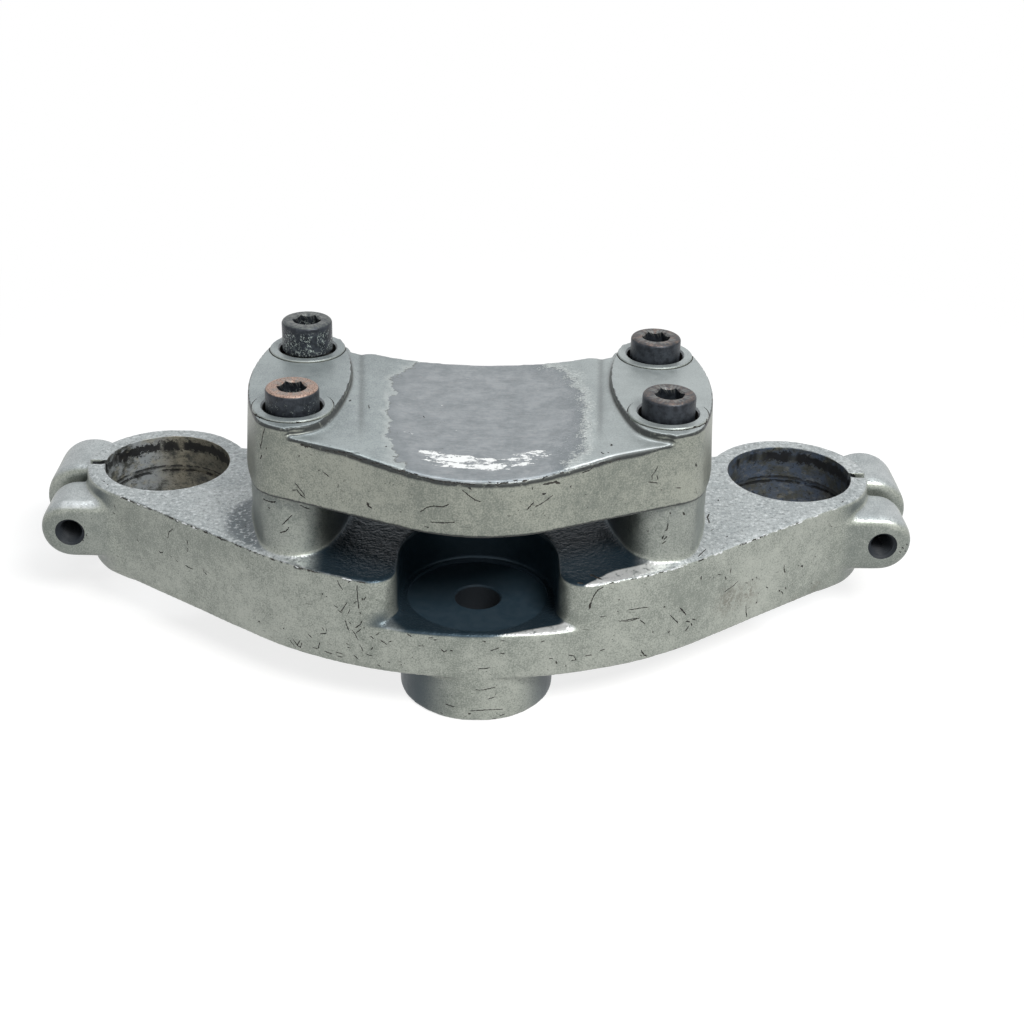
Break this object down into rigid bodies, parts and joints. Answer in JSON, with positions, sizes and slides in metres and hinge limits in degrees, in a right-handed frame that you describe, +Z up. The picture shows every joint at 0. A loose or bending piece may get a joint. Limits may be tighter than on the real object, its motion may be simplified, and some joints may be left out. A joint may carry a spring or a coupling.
{
  "type": "motorcycle triple clamp",
  "caption": "Cast top yoke with two split fork rings, a stem hub and risers, under a one-piece handlebar clamp held by socket head screws.",
  "frame": {"origin": "on the steering stem axis, at the foot of the stem hub", "axes": "+Z up along the stem axis, +X to the right along the handlebar axis, +Y from the stem axis towards the fork axes; the hub side, nearest the viewer, is -Y"},
  "size_m": [0.293, 0.1129, 0.099],
  "materials": {
    "casting": "cast aluminium under worn silver-grey paint, satin",
    "clamp_casting": "cast aluminium under silver-grey paint, worn to bare metal on the saddle",
    "screws": "black oxide with specks of corrosion"
  },
  "bodies": {
    "root": {"yoke": "casting", "handlebar_clamp": "clamp_casting", "clamp_screw_near_left": "screws", "clamp_screw_near_right": "screws", "clamp_screw_far_left": "screws", "clamp_screw_far_right": "screws"}
  },
  "joints": []
}
